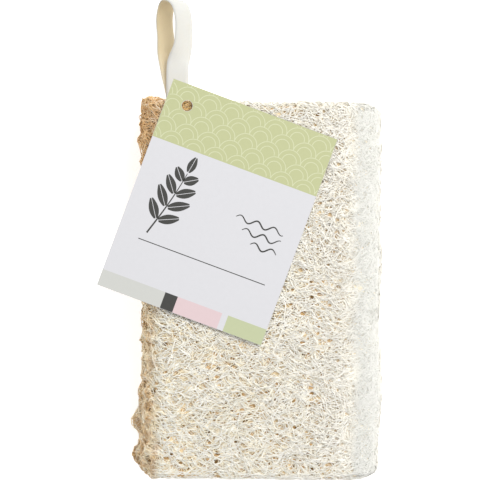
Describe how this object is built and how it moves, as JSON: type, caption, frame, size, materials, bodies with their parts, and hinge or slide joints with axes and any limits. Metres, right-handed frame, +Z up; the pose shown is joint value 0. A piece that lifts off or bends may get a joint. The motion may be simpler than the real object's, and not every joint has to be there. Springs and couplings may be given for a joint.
{
  "type": "natural loofah sponge",
  "caption": "Pressed pad of natural loofah fibre with a raised net of small pores, a ribbon hanging loop at its end and a punched card tag lying on its face.",
  "frame": {"origin": "middle of the flat spot under the pad, on the surface that the pad lies on", "axes": "+Z up, away from the surface that the pad lies on; +Y along the pad towards the ribbon; +X across the pad"},
  "size_m": [0.113, 0.1924, 0.0459],
  "materials": {
    "loofah_fibre": "dry matt plant fibre, cream with tan pores",
    "ribbon_cotton": "soft woven tape, off-white",
    "tag_card": "printed smooth card, white with a pale green band"
  },
  "bodies": {
    "root": {"loofah_sponge": "loofah_fibre", "hanging_ribbon": "ribbon_cotton", "swing_tag": "tag_card"}
  },
  "joints": []
}
